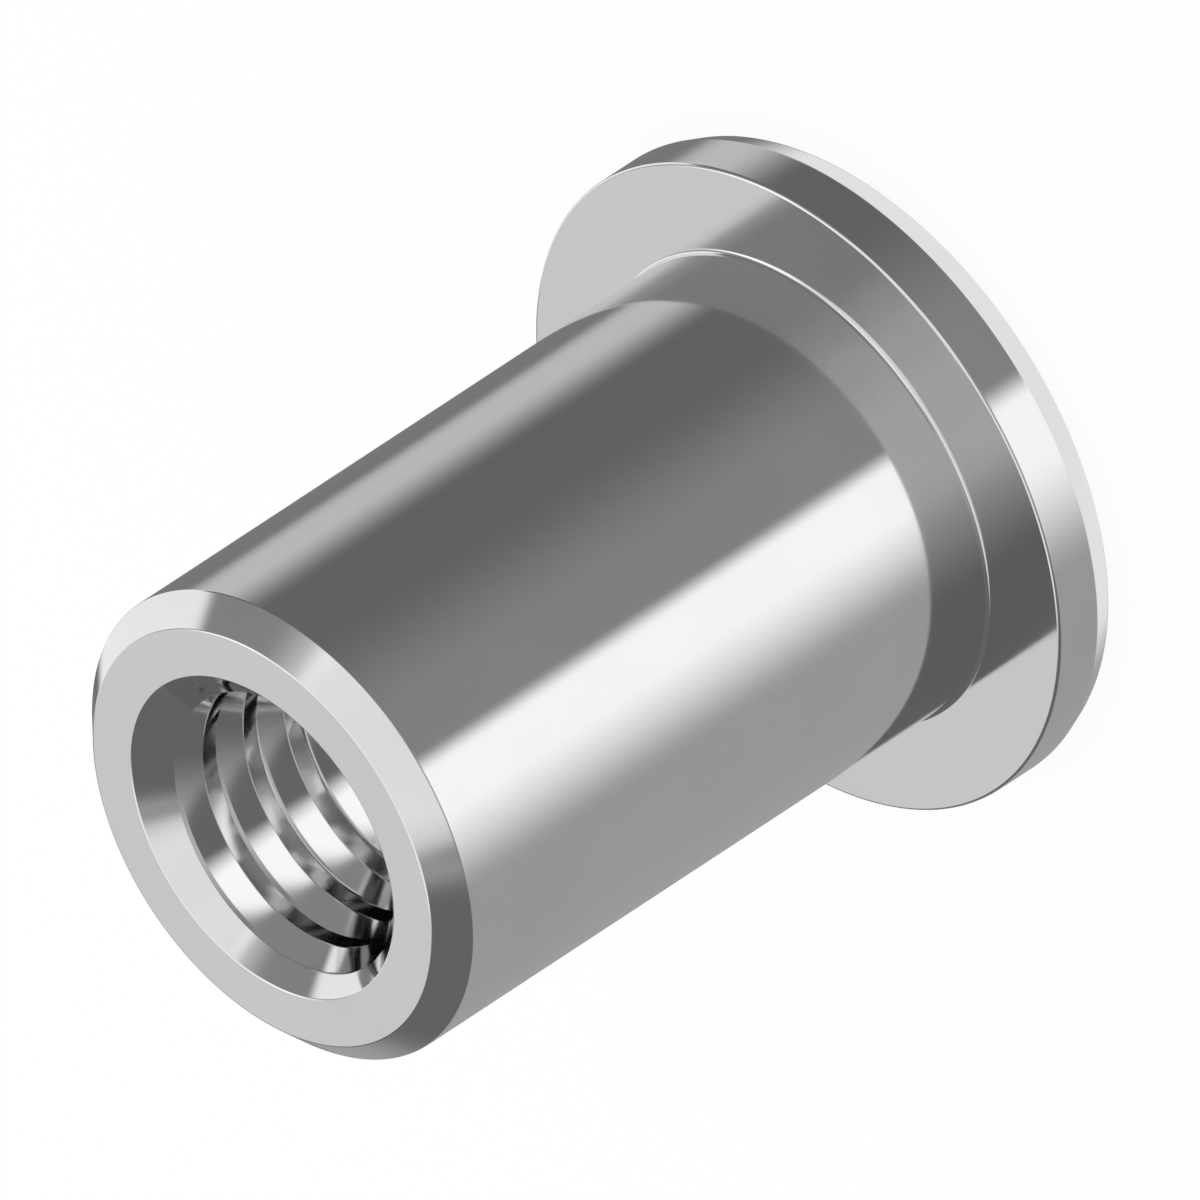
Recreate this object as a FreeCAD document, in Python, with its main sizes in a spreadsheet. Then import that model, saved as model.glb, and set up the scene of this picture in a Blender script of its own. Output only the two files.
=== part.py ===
"""Flange rivet nut: round shank with a thin clinching sleeve, tapped end and flat flange head.

The nut stands on its head. Its frame has +Z along the axis from the head's outer face,
at Z = 0, to the end of the shank, and the origin lies on the axis. Lengths are in millimetres.
"""
import FreeCAD, Part
import math
import os
import Sketcher

NODE = "rivet_nut"

# The driving dimensions, in millimetres and degrees
SIZES = {
    "shank_diameter": 9.0,
    "shank_length": 13.2,
    "end_chamfer": 0.5,
    "neck_fillet": 0.1,
    "head_diameter": 12.4,
    "head_thickness": 1.5,
    "rim_height": 0.93,
    "rim_draft_angle": 20.0,
    "rim_round": 0.3,
    "rim_break": 0.06,
    "thread_diameter": 6.0,
    "tap_drill_diameter": 5.0,
    "countersink_margin": 0.2,
    "countersink_angle": 90.0,
    "chamber_diameter": 7.0,
    "chamber_depth": 7.1,
    "drill_point_angle": 120.0,
    "head_mouth_chamfer": 0.2,
    "head_mouth_angle": 90.0,
}

# Sizes that follow from them
SHANK_R = SIZES["shank_diameter"] / 2
HEAD_R = SIZES["head_diameter"] / 2
HEAD_T = SIZES["head_thickness"]
END_Z = HEAD_T + SIZES["shank_length"]
RIM_FOOT_Z = HEAD_T - SIZES["rim_height"]
RIM_FOOT_R = HEAD_R - RIM_FOOT_Z * math.tan(math.radians(SIZES["rim_draft_angle"]))

EDGE_TOLERANCE = 1e-4


def fill_sheet(doc):
    """Writes the driving dimensions into the document's sheet, one named cell each."""
    sheet = doc.addObject("Spreadsheet::Sheet", "Sizes")
    for row, (alias, value) in enumerate(SIZES.items(), start=1):
        sheet.set(f"A{row}", alias)
        sheet.set(f"B{row}", str(value))
        sheet.setAlias(f"B{row}", alias)
    doc.recompute()
    return sheet


def plane_of(body, role):
    """The body's own origin plane with the given role."""
    for feature in body.Origin.OriginFeatures:
        if feature.Role == role:
            return feature
    raise ValueError(f"{body.Label} has no plane {role}")


def add_sketch(body, name, role):
    """An empty sketch on one of the body's origin planes."""
    sketch = body.newObject("Sketcher::SketchObject", name)
    sketch.AttachmentSupport = [(plane_of(body, role), "")]
    sketch.MapMode = "FlatFace"
    return sketch


def bind(sketch, constraint, name, formula):
    """Adds a dimension to a sketch and ties it to the sheet."""
    index = sketch.addConstraint(constraint)
    sketch.renameConstraint(index, name)
    sketch.setExpression(f"Constraints.{name}", formula)


def add_blank(doc, body):
    """The turned blank: a solid shank on a flat head whose outer edge is drafted."""
    corners = [
        (0, 0),
        (RIM_FOOT_R, 0),
        (HEAD_R, RIM_FOOT_Z),
        (HEAD_R, HEAD_T),
        (SHANK_R, HEAD_T),
        (SHANK_R, END_Z),
        (0, END_Z),
    ]
    points = [FreeCAD.Vector(x, z, 0) for x, z in corners]
    sketch = add_sketch(body, "BlankProfile", "XZ_Plane")
    for start, end in zip(points, points[1:] + points[:1]):
        sketch.addGeometry(Part.LineSegment(start, end), False)

    face, draft, side, underside, flank, shank_end, axis = range(len(points))
    origin = (-1, 1)
    for line in range(len(points)):
        sketch.addConstraint(
            Sketcher.Constraint("Coincident", line, 2, (line + 1) % len(points), 1)
        )
    sketch.addConstraint(Sketcher.Constraint("Coincident", face, 1, *origin))
    for line in (face, underside, shank_end):
        sketch.addConstraint(Sketcher.Constraint("Horizontal", line))
    for line in (side, flank, axis):
        sketch.addConstraint(Sketcher.Constraint("Vertical", line))

    bind(sketch, Sketcher.Constraint("DistanceX", *origin, side, 1, HEAD_R),
         "head_radius", "Sizes.head_diameter / 2")
    bind(sketch, Sketcher.Constraint("DistanceX", *origin, flank, 1, SHANK_R),
         "shank_radius", "Sizes.shank_diameter / 2")
    bind(sketch, Sketcher.Constraint("DistanceY", *origin, side, 2, HEAD_T),
         "head_thickness", "Sizes.head_thickness")
    bind(sketch, Sketcher.Constraint("DistanceY", side, 1, side, 2, SIZES["rim_height"]),
         "rim_height", "Sizes.rim_height")
    bind(sketch, Sketcher.Constraint("DistanceY", flank, 1, flank, 2, SIZES["shank_length"]),
         "shank_length", "Sizes.shank_length")
    lean = math.radians(90 - SIZES["rim_draft_angle"])
    bind(sketch, Sketcher.Constraint("Angle", draft, lean),
         "rim_lean", "(90 - Sizes.rim_draft_angle) * 1 deg")

    blank = body.newObject("PartDesign::Revolution", "Blank")
    blank.Profile = sketch
    blank.ReferenceAxis = (sketch, ["V_Axis"])
    blank.Angle = 360
    doc.recompute()
    return blank


def add_hole(doc, body, name, diameter, offset, reverse):
    """A round hole on the axis, drilled from the plane at the given height."""
    sketch = add_sketch(body, name + "Centre", "XY_Plane")
    sketch.setExpression("AttachmentOffset.Base.z", offset)
    centre = FreeCAD.Vector(0, 0, 0)
    circle = sketch.addGeometry(Part.Circle(centre, FreeCAD.Vector(0, 0, 1), 1), False)
    sketch.addConstraint(Sketcher.Constraint("Coincident", circle, 3, -1, 1))
    bind(sketch, Sketcher.Constraint("Diameter", circle, 1), "bore", diameter)
    doc.recompute()
    hole = body.newObject("PartDesign::Hole", name)
    hole.Profile = sketch
    hole.Reversed = reverse
    doc.recompute()
    hole.ThreadType = "None"
    hole.setExpression("Diameter", diameter)
    return hole


def add_mouth(hole, diameter, angle):
    """A cone at a hole's mouth, of the given outer diameter and full angle."""
    hole.HoleCutType = "Countersink"
    hole.HoleCutCustomValues = True
    hole.setExpression("HoleCutDiameter", diameter)
    hole.setExpression("HoleCutCountersinkAngle", angle)


def add_tapped_hole(doc, body):
    """The hole that is tapped, right through from the shank's end, with its countersink."""
    shank_end = "Sizes.head_thickness + Sizes.shank_length"
    hole = add_hole(doc, body, "TappedHole", "Sizes.tap_drill_diameter", shank_end, False)
    hole.DepthType = "ThroughAll"
    add_mouth(hole, "Sizes.thread_diameter + Sizes.countersink_margin",
              "Sizes.countersink_angle * 1 deg")
    doc.recompute()
    return hole


def add_chamber(doc, body):
    """The wide chamber behind the head, which leaves the thin sleeve that clinches."""
    hole = add_hole(doc, body, "Chamber", "Sizes.chamber_diameter", "0", True)
    hole.DepthType = "Dimension"
    hole.setExpression("Depth", "Sizes.chamber_depth")
    hole.DrillPoint = "Angled"
    hole.DrillForDepth = False
    hole.setExpression("DrillPointAngle", "Sizes.drill_point_angle * 1 deg")
    add_mouth(hole, "Sizes.chamber_diameter + 2 * Sizes.head_mouth_chamfer",
              "Sizes.head_mouth_angle * 1 deg")
    doc.recompute()
    return hole


def ring_edge(shape, radius, height):
    """The name of the round edge about the axis with this radius and height."""
    for number, edge in enumerate(shape.Edges, start=1):
        if not isinstance(edge.Curve, Part.Circle):
            continue
        same_radius = abs(edge.Curve.Radius - radius) < EDGE_TOLERANCE
        same_height = abs(edge.Curve.Center.z - height) < EDGE_TOLERANCE
        if same_radius and same_height:
            return f"Edge{number}"
    raise ValueError(f"no round edge of radius {radius} at height {height}")


def dress(doc, body, kind, name, radius, height, size):
    """A fillet or chamfer on one round edge, of a size from the sheet."""
    base = body.Tip
    feature = body.newObject(kind, name)
    feature.Base = (base, [ring_edge(base.Shape, radius, height)])
    feature.setExpression("Radius" if kind.endswith("Fillet") else "Size", f"Sizes.{size}")
    doc.recompute()
    return feature


def dress_edges(doc, body):
    """The broken and rounded edges of the head and the shank."""
    dress(doc, body, "PartDesign::Chamfer", "EndChamfer", SHANK_R, END_Z, "end_chamfer")
    dress(doc, body, "PartDesign::Chamfer", "RimBreak", HEAD_R, HEAD_T, "rim_break")
    dress(doc, body, "PartDesign::Fillet", "NeckFillet", SHANK_R, HEAD_T, "neck_fillet")
    dress(doc, body, "PartDesign::Fillet", "RimRound", RIM_FOOT_R, 0, "rim_round")


def check_cut(name, before, after):
    """Stops if a feature that should remove metal has removed none."""
    print(f"{name} removes {before - after:.3f} mm3")
    if after >= before:
        raise ValueError(f"{name} removed nothing")


def check_document(doc, body):
    """Stops if any object has failed or the nut isn't one closed solid."""
    for item in doc.Objects:
        if "Invalid" in item.State or "Error" in item.State:
            raise ValueError(f"{item.Name} failed: {item.State}")
    shape = body.Shape
    if shape.isNull() or not shape.isValid():
        raise ValueError(f"{body.Label} has no valid shape")
    if len(shape.Solids) != 1:
        raise ValueError(f"{body.Label} has {len(shape.Solids)} solids")


def main():
    doc = FreeCAD.newDocument("FlangeRivetNut")
    fill_sheet(doc)
    body = doc.addObject("PartDesign::Body", "RivetNut")
    body.Label = NODE

    blank = add_blank(doc, body)
    tapped = add_tapped_hole(doc, body)
    check_cut("the tapped hole", blank.Shape.Volume, tapped.Shape.Volume)
    chamber = add_chamber(doc, body)
    check_cut("the chamber", tapped.Shape.Volume, chamber.Shape.Volume)
    dress_edges(doc, body)
    check_document(doc, body)

    box = body.Shape.optimalBoundingBox()
    print(f"{NODE}: {box.XLength:.3f} x {box.YLength:.3f} x {box.ZLength:.3f} mm,"
          f" from Z {box.ZMin:.3f}, {body.Shape.Volume:.2f} mm3, {len(body.Shape.Faces)} faces")
    os.makedirs("parts", exist_ok=True)
    body.Shape.exportStep(f"parts/{NODE}.step")


main()
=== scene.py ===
# %% [markdown]
# A flange rivet nut, dressed for its picture.
#
# The real nut is one small piece of plated steel, 14.7 mm long: a round shank with a screw
# thread in its end, and a flat round head. It is set blind in a hole of a metal sheet, where
# the thin wall behind the head folds outwards, and then it holds a screw.
#
# The imported solid comes first. It is the frame that every new piece has to fit, in metres,
# with the head's outer face on the floor and the shank pointing up. The dressed nut may not
# grow out of it.

# %% Load the frame
import math

import bmesh
import bpy
from mathutils import Matrix, Vector


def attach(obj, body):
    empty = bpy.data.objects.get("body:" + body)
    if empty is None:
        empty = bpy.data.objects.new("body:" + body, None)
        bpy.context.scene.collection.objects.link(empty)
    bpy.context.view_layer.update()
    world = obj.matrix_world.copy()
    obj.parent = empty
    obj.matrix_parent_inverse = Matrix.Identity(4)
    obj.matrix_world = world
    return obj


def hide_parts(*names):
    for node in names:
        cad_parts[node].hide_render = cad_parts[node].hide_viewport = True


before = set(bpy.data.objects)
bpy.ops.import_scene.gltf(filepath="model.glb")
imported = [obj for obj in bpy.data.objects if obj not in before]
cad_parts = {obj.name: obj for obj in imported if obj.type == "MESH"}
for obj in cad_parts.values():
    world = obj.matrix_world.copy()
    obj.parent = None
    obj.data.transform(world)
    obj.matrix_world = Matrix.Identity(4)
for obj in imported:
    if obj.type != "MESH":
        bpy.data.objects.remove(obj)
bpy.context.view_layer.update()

MM = 0.001


# %% [markdown]
# The nut is a turned part, so one section through its wall says nearly all of its shape.
# These are the same sizes as the solid's. The hole's sides are at the size of the drill
# that goes in before the tap, and the drill that makes the wide chamber behind the head
# leaves a cone where the two bores meet.

# %% The nut's sizes in millimetres
SHANK_R = 4.5
HEAD_R = 6.2
HEAD_T = 1.5
END_Z = 14.7
END_CHAMFER = 0.5
RIM_FOOT_Z = 0.57
RIM_FOOT_R = 5.9925
DRILL_R = 2.5
MOUTH_R = 3.1
MOUTH_DEPTH = 0.6
CHAMBER_R = 3.5
CHAMBER_DEPTH = 7.1
DRILL_POINT = 0.5774
HEAD_MOUTH = 0.2

SECTION = [
    # radius and height of each corner, from the chamber's mouth outwards and up
    (CHAMBER_R + HEAD_MOUTH, 0),
    (RIM_FOOT_R, 0),
    (HEAD_R, RIM_FOOT_Z),
    (HEAD_R, HEAD_T),
    (SHANK_R, HEAD_T),
    (SHANK_R, END_Z - END_CHAMFER),
    (SHANK_R - END_CHAMFER, END_Z),
    (MOUTH_R, END_Z),
    (DRILL_R, END_Z - MOUTH_DEPTH),
    (DRILL_R, CHAMBER_DEPTH + DRILL_POINT),
    (CHAMBER_R, CHAMBER_DEPTH),
    (CHAMBER_R, HEAD_MOUTH),
]
print("corners of the section:", len(SECTION))

# %% [markdown]
# A lathe makes this shape by turning a bar against a tool. Here a circle does the same: it is
# drawn out ring by ring along the section, each time lifted and then widened or narrowed,
# until it is back where it began. A spin of the section would give the same skin, but this
# way each ring can be followed. 256 sides are enough for the mirror finish to look round.

# %% Turn the blank
SIDES = 256
WELD = 1e-6


def select_none():
    """Leaves object mode with nothing selected."""
    if bpy.context.mode != "OBJECT":
        bpy.ops.object.mode_set(mode="OBJECT")
    bpy.ops.object.select_all(action="DESELECT")


def close_skin():
    """Welds the doubled points of the mesh in edit mode and points its faces outwards."""
    bpy.ops.mesh.select_all(action="SELECT")
    bpy.ops.mesh.remove_doubles(threshold=WELD)
    bpy.ops.mesh.normals_make_consistent(inside=False)


def turn_blank(name, section):
    """A closed skin round the axis, walked from corner to corner of its section."""
    select_none()
    radius, height = section[0]
    bpy.ops.mesh.primitive_circle_add(
        vertices=SIDES, radius=radius * MM, fill_type="NOTHING", location=(0, 0, height * MM)
    )
    blank = bpy.context.object
    blank.name = name
    bpy.ops.object.transform_apply(location=True)
    bpy.ops.object.mode_set(mode="EDIT")
    bpy.ops.mesh.select_all(action="SELECT")
    for next_radius, next_height in section[1:] + section[:1]:
        lift = (next_height - height) * MM
        widen = next_radius / radius
        bpy.ops.mesh.extrude_edges_move(TRANSFORM_OT_translate={"value": (0, 0, lift)})
        bpy.ops.transform.resize(
            value=(widen, widen, 1), center_override=(0, 0, next_height * MM)
        )
        radius, height = next_radius, next_height
    close_skin()
    bpy.ops.object.mode_set(mode="OBJECT")
    return blank


nut = turn_blank("nut_turned_and_tapped", SECTION)
print("blank:", len(nut.data.polygons), "faces")

# %% [markdown]
# No real edge is perfectly sharp. The head's outer edge is rounded well, the corner under the
# head has a small fillet, and the tool leaves the other edges just broken. Each ring of edges
# is picked by its radius and height and bevelled. The width is measured along the faces.

# %% Break and round the edges
NEAR = 0.004 * MM
ROUND_PROFILE = 0.5
EDGES = [
    # radius, height, width, steps
    (RIM_FOOT_R, 0, 0.21, 8),
    (HEAD_R, RIM_FOOT_Z, 0.03, 2),
    (HEAD_R, HEAD_T, 0.06, 4),
    (SHANK_R, HEAD_T, 0.08, 6),
    (SHANK_R, END_Z - END_CHAMFER, 0.02, 3),
    (SHANK_R - END_CHAMFER, END_Z, 0.02, 3),
    (MOUTH_R, END_Z, 0.02, 3),
    (CHAMBER_R + HEAD_MOUTH, 0, 0.03, 3),
    (CHAMBER_R, HEAD_MOUTH, 0.03, 3),
    (CHAMBER_R, CHAMBER_DEPTH, 0.08, 4),
]


def select_ring(piece, radius, height):
    """Selects the ring of edges at this radius and height, and returns how many there are."""
    bpy.ops.mesh.select_mode(type="EDGE")
    bpy.ops.mesh.select_all(action="DESELECT")
    mesh = bmesh.from_edit_mesh(piece.data)
    found = 0
    for edge in mesh.edges:
        places = [(v.co.xy.length - radius * MM, v.co.z - height * MM) for v in edge.verts]
        if all(abs(a) < NEAR and abs(b) < NEAR for a, b in places):
            edge.select_set(True)
            found += 1
    bmesh.update_edit_mesh(piece.data)
    return found


bpy.ops.object.mode_set(mode="EDIT")
for radius, height, width, steps in EDGES:
    found = select_ring(nut, radius, height)
    bpy.ops.mesh.bevel(
        offset=width * MM, segments=steps, profile=ROUND_PROFILE, affect="EDGES"
    )
    print(f"ring at radius {radius} mm, height {height} mm: {found} edges, {width} mm wide")
close_skin()
bpy.ops.object.mode_set(mode="OBJECT")

# %% [markdown]
# The thread is an M6 one: its turns are 1 mm apart, and it is right-handed, so seen from above
# it climbs counterclockwise. A tap cuts it. The scene does the same with a solid tap: the shape
# of the groove is drawn once beside the axis, swept up along the helix by a Screw modifier,
# closed at its ends, and then taken out of the nut by a Boolean. What stays between two turns
# is the narrow land, which still has the drill's radius. Where the groove meets the countersink
# it runs out by itself, as the real one does.
#
# The picture's grooves are lit over their whole lower side. A full groove with steep sides
# shades itself, so this one is shallower, and its lower side leans more towards the mouth.
# The outline starts as a small plane that stands just inside the bore. Its outer edge is then
# drawn out and made narrower, three times over.

# %% Draw the groove of the tap
PITCH = 1.0
TAP_CORE_R = 2.42
GROOVE_Z = 6.775
GROOVE = [
    # distance from the axis, the groove's top and its foot there, from the groove's middle
    (2.485, 0.365, -0.365),
    (2.515, 0.325, -0.317),
    (2.80, 0.137, 0.022),
    (2.845, 0.117, 0.107),
]
QUARTER_TURN = math.pi / 2


def select_outer_edge(piece, reach):
    """Selects the edge that lies across the groove at this distance from the axis."""
    bpy.ops.mesh.select_mode(type="EDGE")
    bpy.ops.mesh.select_all(action="DESELECT")
    mesh = bmesh.from_edit_mesh(piece.data)
    for edge in mesh.edges:
        edge.select_set(all(abs(v.co.x - reach * MM) < NEAR for v in edge.verts))
    bmesh.update_edit_mesh(piece.data)


def draw_groove(name):
    """The groove's outline in the plane through the axis, from the core out to its root."""
    select_none()
    reach, top, foot = GROOVE[0]
    core = reach - TAP_CORE_R
    core_centre = ((TAP_CORE_R + core / 2) * MM, 0, GROOVE_Z * MM)
    bpy.ops.mesh.primitive_plane_add(
        size=MM, location=core_centre, rotation=(QUARTER_TURN, 0, 0)
    )
    groove = bpy.context.object
    groove.name = name
    bpy.ops.object.transform_apply(location=True, rotation=True)
    bpy.ops.object.mode_set(mode="EDIT")
    bpy.ops.mesh.select_all(action="SELECT")
    bpy.ops.transform.resize(value=(core, 1, top - foot), center_override=core_centre)
    for next_reach, next_top, next_foot in GROOVE[1:]:
        select_outer_edge(groove, reach)
        rise = (next_top + next_foot - top - foot) / 2
        bpy.ops.mesh.extrude_edges_move(
            TRANSFORM_OT_translate={"value": ((next_reach - reach) * MM, 0, rise * MM)}
        )
        middle = GROOVE_Z + (next_top + next_foot) / 2
        bpy.ops.transform.resize(
            value=(1, 1, (next_top - next_foot) / (top - foot)),
            center_override=(next_reach * MM, 0, middle * MM)
        )
        reach, top, foot = next_reach, next_top, next_foot
    bpy.ops.mesh.select_mode(type="FACE")
    bpy.ops.mesh.select_all(action="SELECT")
    bpy.ops.mesh.dissolve_faces()
    bpy.ops.object.mode_set(mode="OBJECT")
    return groove


tap = draw_groove("tap")
print("points of the groove's outline:", len(tap.data.vertices))

# %% [markdown]
# The Screw modifier turns the outline round the axis and lifts it by one pitch for each turn.
# Nine turns reach from inside the chamber to above the nut's end, so that the cut has no end
# of its own in the metal. A Boolean needs a closed tap, so the two open ends are filled.

# %% Sweep the tap and close its ends
TAP_TURNS = 9
TAP_STEPS = 250
FULL_TURN = 2 * math.pi

sweep = tap.modifiers.new("helix", "SCREW")
sweep.axis = "Z"
sweep.angle = FULL_TURN
sweep.screw_offset = PITCH * MM
sweep.iterations = TAP_TURNS
sweep.steps = sweep.render_steps = TAP_STEPS
sweep.use_smooth_shade = False
bpy.ops.object.modifier_apply(modifier=sweep.name)
bpy.ops.object.mode_set(mode="EDIT")
bpy.ops.mesh.select_mode(type="VERT")
bpy.ops.mesh.select_all(action="DESELECT")
bpy.ops.mesh.select_non_manifold()
bpy.ops.mesh.fill_holes(sides=0)
close_skin()
bpy.ops.object.mode_set(mode="OBJECT")
print("tap:", len(tap.data.polygons), "faces")

# %% [markdown]
# The exact solver is the one that keeps a clean skin where the two shapes nearly touch. After
# the cut the tap isn't needed any more, and the nut is searched for open edges: there should
# be none.

# %% Cut the thread
def pick(piece):
    """Selects only this piece and makes it the active one."""
    select_none()
    bpy.context.view_layer.objects.active = piece
    piece.select_set(True)


pick(nut)
cut = nut.modifiers.new("thread", "BOOLEAN")
cut.operation = "DIFFERENCE"
cut.solver = "EXACT"
cut.object = tap
bpy.ops.object.modifier_apply(modifier=cut.name)
pick(tap)
bpy.ops.object.delete()
pick(nut)
bpy.ops.object.mode_set(mode="EDIT")
close_skin()
bpy.ops.mesh.select_all(action="DESELECT")
bpy.ops.mesh.select_mode(type="VERT")
bpy.ops.mesh.select_non_manifold()
threaded = bmesh.from_edit_mesh(nut.data)
print("open or doubled points:", sum(v.select for v in threaded.verts))
bpy.ops.mesh.select_all(action="DESELECT")
bpy.ops.object.mode_set(mode="OBJECT")
print("threaded nut:", len(nut.data.polygons), "faces")

# %% [markdown]
# A mirror finish shows every wrong slope. Smooth shading by angle keeps the true corners, and
# a Weighted Normal modifier lets the large faces decide, so that the flat faces stay flat
# right up to their broken edges. It weighs faces by their area and takes areas as small as
# these for nothing, so the nut is made a thousand times larger for it, and then small again.

# %% Smooth the skin
CORNER = math.radians(28)
ENLARGED = 1 / MM
BY_AREA_ALONE = 50


def scale_piece(factor):
    """Scales the selected piece about the origin and applies the scale to its mesh."""
    bpy.ops.transform.resize(value=(factor, factor, factor), center_override=(0, 0, 0))
    bpy.ops.object.transform_apply(location=False, rotation=False, scale=True)


bpy.ops.object.shade_smooth_by_angle(angle=CORNER)
scale_piece(ENLARGED)
even = nut.modifiers.new("even_normals", "WEIGHTED_NORMAL")
even.mode = "FACE_AREA"
even.weight = BY_AREA_ALONE
even.keep_sharp = True
bpy.ops.object.modifier_apply(modifier=even.name)
scale_piece(MM)
print("smoothed nut, height in mm:", round(nut.dimensions.z / MM, 3))

# %% [markdown]
# Materials are built from nodes, and the same few kinds come again and again. These helpers
# add one node each and give back the output that the next node needs.

# %% Helpers for nodes
def add_node(tree, kind, **settings):
    """A new node of this kind with these settings."""
    node = tree.nodes.new(kind)
    for name, value in settings.items():
        setattr(node, name, value)
    return node


def feed(tree, value, slot):
    """Gives an input socket a number, or joins an output socket to it."""
    if isinstance(value, (int, float)):
        slot.default_value = value
    else:
        tree.links.new(value, slot)


def math_node(tree, operation, *values):
    """The output of a Math node, each value a number or a socket."""
    node = add_node(tree, "ShaderNodeMath", operation=operation)
    for slot, value in zip(node.inputs, values):
        feed(tree, value, slot)
    return node.outputs[0]


def map_range(tree, value, old, new, how="LINEAR"):
    """The output of a Map Range node that takes the old range to the new and clamps there."""
    node = add_node(tree, "ShaderNodeMapRange", interpolation_type=how)
    feed(tree, value, node.inputs["Value"])
    for name, number in zip(("From Min", "From Max", "To Min", "To Max"), (*old, *new)):
        node.inputs[name].default_value = number
    return node.outputs["Result"]


def noise(tree, vector, scale, detail):
    """The value of a noise texture, scale in cells to the metre."""
    node = add_node(tree, "ShaderNodeTexNoise")
    feed(tree, vector, node.inputs["Vector"])
    node.inputs["Scale"].default_value = scale
    node.inputs["Detail"].default_value = detail
    return node.outputs["Fac"]


print("node helpers are ready")

# %% [markdown]
# The finish is a bright plate on smooth turned steel. Such a plate is nearly a mirror, a touch
# duller in some places than in others, and the tool's marks still run round the axis under it.
# All of it is worked out from the place on the nut: the distance from the axis and the height
# give rings on the flat faces and on the round ones alike. Wide clouds change the tint and the
# gloss a little, and a fine grain adds to the dullness.

# %% Plated steel
TOOL_MARKS = (14000, 3)  # cells to the metre, detail
CLOUDS = (380, 4)
GRAIN = (9000, 2)
CLOUD_RANGE = (0.35, 0.65)
GRAIN_RANGE = (0.3, 0.7)
DARKER_PLATE = (0.825, 0.825, 0.832, 1)
LIGHTER_PLATE = (0.85, 0.85, 0.853, 1)
CLOUD_ROUGHNESS = (0.055, 0.085)
GRAIN_ROUGHNESS = (0, 0.015)
MARK_STRENGTH = 0.15
MARK_DEPTH = 1e-7


def rings_about_axis(tree, place):
    """A place's distance from the axis and its height, as a vector."""
    parts = add_node(tree, "ShaderNodeSeparateXYZ")
    feed(tree, place, parts.inputs[0])
    x, y, z = parts.outputs
    square = math_node(tree, "ADD", math_node(tree, "MULTIPLY", x, x),
                       math_node(tree, "MULTIPLY", y, y))
    rings = add_node(tree, "ShaderNodeCombineXYZ")
    feed(tree, math_node(tree, "SQRT", square), rings.inputs["X"])
    feed(tree, z, rings.inputs["Z"])
    return rings.outputs[0]


def plated_steel():
    """Bright plate with rings from turning and slightly uneven gloss."""
    material = bpy.data.materials.new("plated_steel")
    material.use_nodes = True
    tree = material.node_tree
    shader = tree.nodes["Principled BSDF"]
    place = add_node(tree, "ShaderNodeTexCoord").outputs["Object"]
    tool_marks = noise(tree, rings_about_axis(tree, place), *TOOL_MARKS)
    clouds = noise(tree, place, *CLOUDS)
    grain = noise(tree, place, *GRAIN)

    tint = add_node(tree, "ShaderNodeMix", data_type="RGBA")
    feed(tree, map_range(tree, clouds, CLOUD_RANGE, (0, 1)), tint.inputs["Factor"])
    tint.inputs["A"].default_value = DARKER_PLATE
    tint.inputs["B"].default_value = LIGHTER_PLATE
    feed(tree, tint.outputs["Result"], shader.inputs["Base Color"])
    shader.inputs["Metallic"].default_value = 1

    dull = math_node(tree, "ADD", map_range(tree, clouds, CLOUD_RANGE, CLOUD_ROUGHNESS),
                     map_range(tree, grain, GRAIN_RANGE, GRAIN_ROUGHNESS))
    feed(tree, dull, shader.inputs["Roughness"])

    bump = add_node(tree, "ShaderNodeBump")
    bump.inputs["Strength"].default_value = MARK_STRENGTH
    bump.inputs["Distance"].default_value = MARK_DEPTH
    feed(tree, tool_marks, bump.inputs["Height"])
    feed(tree, bump.outputs["Normal"], shader.inputs["Normal"])
    return material


nut.data.materials.clear()
nut.data.materials.append(plated_steel())
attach(nut, "root")
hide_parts("rivet_nut")
print("finish:", nut.data.materials[0].name)

# %% [markdown]
# The floor is a plain white sheet under the head. A share of its white is its own, for the
# camera alone, so that it stays paper white, and the rest is lit, so that it keeps a soft
# shadow round the nut. The picture's metal doesn't mirror a floor: it mirrors a studio that
# goes on below the nut. So the floor is left out of the reflections.

# %% Floor
FLOOR_SIDE = 2.0
FLOOR_OWN_WHITE = 0.92
WHITE = (1, 1, 1, 1)


def white_paper():
    """Matt white, with a share of white of its own where the camera sees it."""
    material = bpy.data.materials.new("white_paper")
    material.use_nodes = True
    tree = material.node_tree
    tree.nodes.clear()
    lit = add_node(tree, "ShaderNodeBsdfDiffuse")
    lit.inputs["Color"].default_value = WHITE
    own = add_node(tree, "ShaderNodeEmission")
    rays = add_node(tree, "ShaderNodeLightPath")
    share = math_node(tree, "MULTIPLY", rays.outputs["Is Camera Ray"], FLOOR_OWN_WHITE)
    blend = add_node(tree, "ShaderNodeMixShader")
    out = add_node(tree, "ShaderNodeOutputMaterial")
    feed(tree, share, blend.inputs["Fac"])
    feed(tree, lit.outputs[0], blend.inputs[1])
    feed(tree, own.outputs[0], blend.inputs[2])
    feed(tree, blend.outputs[0], out.inputs["Surface"])
    return material


select_none()
bpy.ops.mesh.primitive_plane_add(size=FLOOR_SIDE, location=(0, 0, 0))
floor = bpy.context.object
floor.name = "floor"
floor.visible_glossy = False
floor.data.materials.append(white_paper())
print("floor:", FLOOR_SIDE, "m on each side")

# %% [markdown]
# Metal this bright has no look of its own: what is seen is the studio in it. So the studio is
# painted in the world, patch by patch, each with soft edges and given by its directions as
# seen from the nut. The camera stands in the south. Azimuth 0 points there, 90 points west,
# -90 east and 180 north, and elevation 90 is straight up.
#
# A patch is a mask that is 1 inside its edges. Each patch is laid over those before it. The
# world isn't sampled as a lamp, because only mirroring surfaces see what is painted on it.

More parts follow.
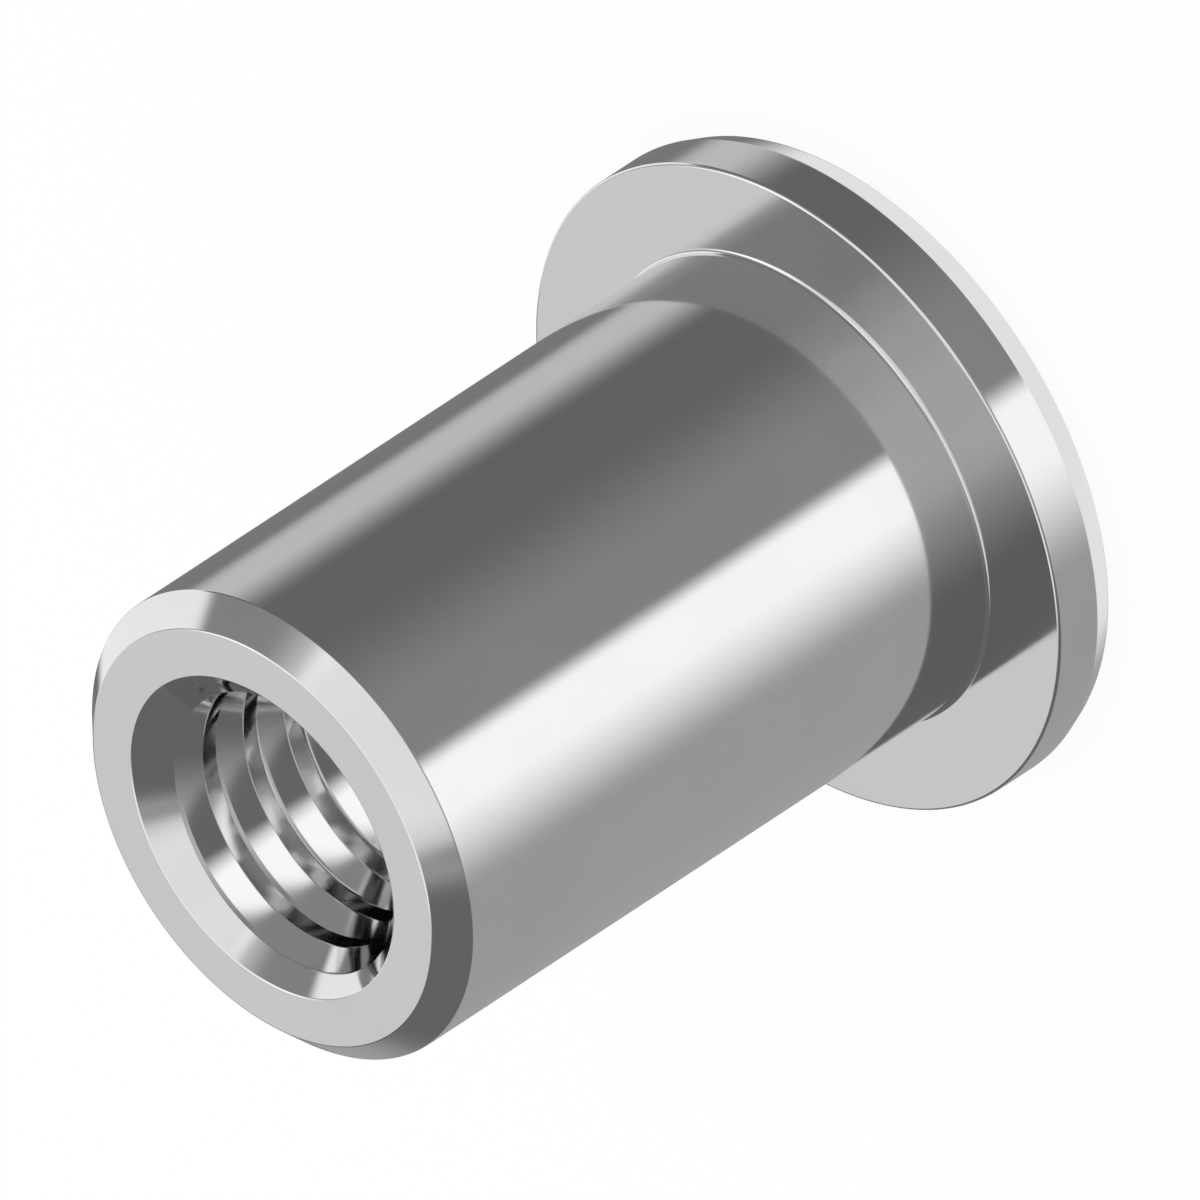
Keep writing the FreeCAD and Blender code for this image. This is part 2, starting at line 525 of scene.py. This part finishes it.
# %% Directions of the studio
world = bpy.data.worlds.new("studio")
bpy.context.scene.world = world
world.use_nodes = True
world.cycles.sampling_method = "NONE"
sky = world.node_tree
sky.nodes.clear()
direction = add_node(sky, "ShaderNodeSeparateXYZ")
feed(sky, add_node(sky, "ShaderNodeTexCoord").outputs["Generated"], direction.inputs[0])
east, north, up = direction.outputs
west = math_node(sky, "MULTIPLY", east, -1.0)
south = math_node(sky, "MULTIPLY", north, -1.0)
azimuth = math_node(sky, "ARCTAN2", west, south)
elevation = math_node(sky, "ARCSINE", up)


def soft_step(value, edge, softness):
    """Rises from 0 to 1 across the edge; with a negative softness it falls."""
    span = (edge - softness / 2, edge + softness / 2)
    return map_range(sky, value, span, (0, 1), "SMOOTHSTEP")


def patch(across, along, start, end, low, high):
    """1 inside four soft edges, each a pair of place and softness, and 0 outside."""
    inside = math_node(sky, "MULTIPLY", soft_step(across, *start),
                       soft_step(across, end[0], -end[1]))
    level = math_node(sky, "MULTIPLY", soft_step(along, *low),
                      soft_step(along, high[0], -high[1]))
    return math_node(sky, "MULTIPLY", inside, level)


def paint(studio, mask, brightness):
    """The studio with this patch laid over it."""
    node = add_node(sky, "ShaderNodeMix", data_type="FLOAT")
    feed(sky, mask, node.inputs["Factor"])
    feed(sky, studio, node.inputs["A"])
    feed(sky, brightness, node.inputs["B"])
    return node.outputs["Result"]


print("camera in the south; azimuth turns from south to west")

# %% [markdown]
# The picture's metal shows a tall bright strip beside the camera, a white card behind in the
# north-east, pale low walls and dark ones between them. Below the nut all is nearly white,
# which the foot of the head's rim mirrors.

# %% Walls, cards and lights round the nut
DARK_WALL = 0.14
BELOW_EDGE = (-47, 10)
BELOW_BRIGHTNESS = 0.88
HALF_TURN = math.pi
WALLS = [
    # centre azimuth, start and end from there, low edge, high edge, brightness
    ("east wall", -82, (-56, 14), (34, 17), (10, 20), (70, 20), 0.25),
    ("low north-west", 125, (-82, 30), (52, 12), (-70, 20), (-4, 24), 0.36),
    ("low south", 12, (-50, 50), (33, 12), (-60, 20), (20, 40), 0.25),
    ("low north-east", -122, (-17, 26), (17, 26), (-50, 20), (-25, 10), 0.56),
    ("strip", 30, (-19, 10), (24, 42), (-75, 20), (0, 30), 1.08),
    ("south glow", 12, (-42, 72), (40, 70), (15, 20), (50, 20), 0.49),
    ("low north", -165, (-14, 10), (25, 14), (-60, 20), (-25, 12), 0.2),
    ("north-east card", -146, (-22, 6), (32, 6), (-22, 14), (23.5, 8), 0.92),
]


def in_radians(pair):
    """The place and softness of an edge, from degrees."""
    return tuple(math.radians(angle) for angle in pair)


def paint_wall(studio, name, centre, start, end, low, high, brightness):
    """The studio with one wall, card or light, its edges in degrees."""
    from_centre = math_node(sky, "SUBTRACT", azimuth, math.radians(centre))
    turned = math_node(sky, "WRAP", from_centre, HALF_TURN, -HALF_TURN)
    mask = patch(turned, elevation, *map(in_radians, (start, end, low, high)))
    print(f"{name}: azimuth {centre}, brightness {brightness}")
    return paint(studio, mask, brightness)


studio = DARK_WALL
for wall in WALLS:
    studio = paint_wall(studio, *wall)
below_edge, below_softness = in_radians(BELOW_EDGE)
studio = paint(studio, soft_step(elevation, below_edge, -below_softness), BELOW_BRIGHTNESS)

# %% [markdown]
# Overhead hangs a long soft box in three parts, each a rectangle on a level ceiling. A place
# on it is given in heights of the ceiling, counted from the point straight above the nut. The
# third part is small and very bright, and only rounded edges mirror it, as thin white lines.
#
# The last four patches stand high on the walls. The first is a dark wall that the shank
# mirrors by way of the head, and the turns of the thread mirror the other three.

# %% Soft box overhead and lights high up
CEILING = [
    # east edge, west edge, north edge, south edge, brightness
    ((-0.88, 0.7), (0.78, 0.7), (-2.4, 1.6), (-0.85, 0.25), 0.665),
    ((-0.93, 0.7), (0.78, 0.7), (-0.5, 0.4), (1.05, 0.9), 0.85),
    ((-0.62, 0.3), (0.5, 0.3), (-1.08, 0.12), (-0.35, 0.3), 1.15),
]
HIGH_WALLS = [
    # as for the walls
    ("north-west wall", 130, (-40, 20), (36, 12), (2, 20), (52, 14), DARK_WALL),
    ("high north-east", -122, (-34, 10), (32, 12), (41, 5), (52, 5), 1.2),
    ("high south-east", -30, (-32, 14), (23, 14), (37.5, 4), (48, 4), 1.12),
    ("high south-west", 35, (-34, 12), (28, 16), (37.5, 4), (48, 4), DARK_WALL),
]
NEARLY_LEVEL = 0.02

rise = math_node(sky, "MAXIMUM", up, NEARLY_LEVEL)
ceiling_west = math_node(sky, "DIVIDE", west, rise)
ceiling_south = math_node(sky, "DIVIDE", south, rise)
for *edges, brightness in CEILING:
    studio = paint(studio, patch(ceiling_west, ceiling_south, *edges), brightness)
    print("part of the soft box, brightness", brightness)
for wall in HIGH_WALLS:
    studio = paint_wall(studio, *wall)

# %% [markdown]
# Only mirrored rays see the studio. The camera sees plain white behind the nut, as in the
# picture, and matt surfaces are lit by a plain even white, so that colours come out as they
# are.

# %% What each kind of ray sees
rays = add_node(sky, "ShaderNodeLightPath")
seen = math_node(sky, "ADD", rays.outputs["Is Glossy Ray"],
                 rays.outputs["Is Transmission Ray"])
seen = math_node(sky, "MINIMUM", seen, 1.0)
plain = add_node(sky, "ShaderNodeBackground")
plain.inputs["Color"].default_value = WHITE
mirrored = add_node(sky, "ShaderNodeBackground")
feed(sky, studio, mirrored.inputs["Color"])
choice = add_node(sky, "ShaderNodeMixShader")
out = add_node(sky, "ShaderNodeOutputWorld")
feed(sky, seen, choice.inputs["Fac"])
feed(sky, plain.outputs[0], choice.inputs[1])
feed(sky, mirrored.outputs[0], choice.inputs[2])
feed(sky, choice.outputs[0], out.inputs["Surface"])
print("nodes in the world:", len(sky.nodes))

# %% [markdown]
# The picture has no perspective: the shank's sides stay parallel. So the camera is an
# orthographic one. It looks 34.2 degrees down on the standing nut and is rolled until the
# shank points down to the left. The end of the shank, on the axis, sits at a known place in
# the picture, and that fixes where the camera stands.

# %% Camera
CAMERA_ELEVATION = math.radians(34.22)
CAMERA_ROLL = math.radians(-123.25)
PICTURE = 1200
PIXELS_PER_MM = 58.62
END_PIXEL = (262.2, 838.2)
CAMERA_DISTANCE = 0.1
NEAREST_SEEN = 0.001
FARTHEST_SEEN = 10

back = Vector((0, -math.cos(CAMERA_ELEVATION), math.sin(CAMERA_ELEVATION)))
level = Vector((1, 0, 0))
upright = back.cross(level)
across = math.cos(CAMERA_ROLL) * level + math.sin(CAMERA_ROLL) * upright
upward = back.cross(across)
offset_x = (END_PIXEL[0] - PICTURE / 2) / PIXELS_PER_MM * MM
offset_y = (PICTURE / 2 - END_PIXEL[1]) / PIXELS_PER_MM * MM
centre = Vector((0, 0, END_Z * MM)) - offset_x * across - offset_y * upward
select_none()
bpy.ops.object.camera_add(location=centre + CAMERA_DISTANCE * back)
camera = bpy.context.object
camera.name = "picture_camera"
camera.rotation_euler = Matrix((across, upward, back)).transposed().to_euler()
camera.data.type = "ORTHO"
camera.data.ortho_scale = PICTURE / PIXELS_PER_MM * MM
camera.data.clip_start = NEAREST_SEEN
camera.data.clip_end = FARTHEST_SEEN
bpy.context.scene.camera = camera
bpy.context.scene.view_settings.view_transform = "Standard"
print("camera stands at", [round(c, 4) for c in camera.location])
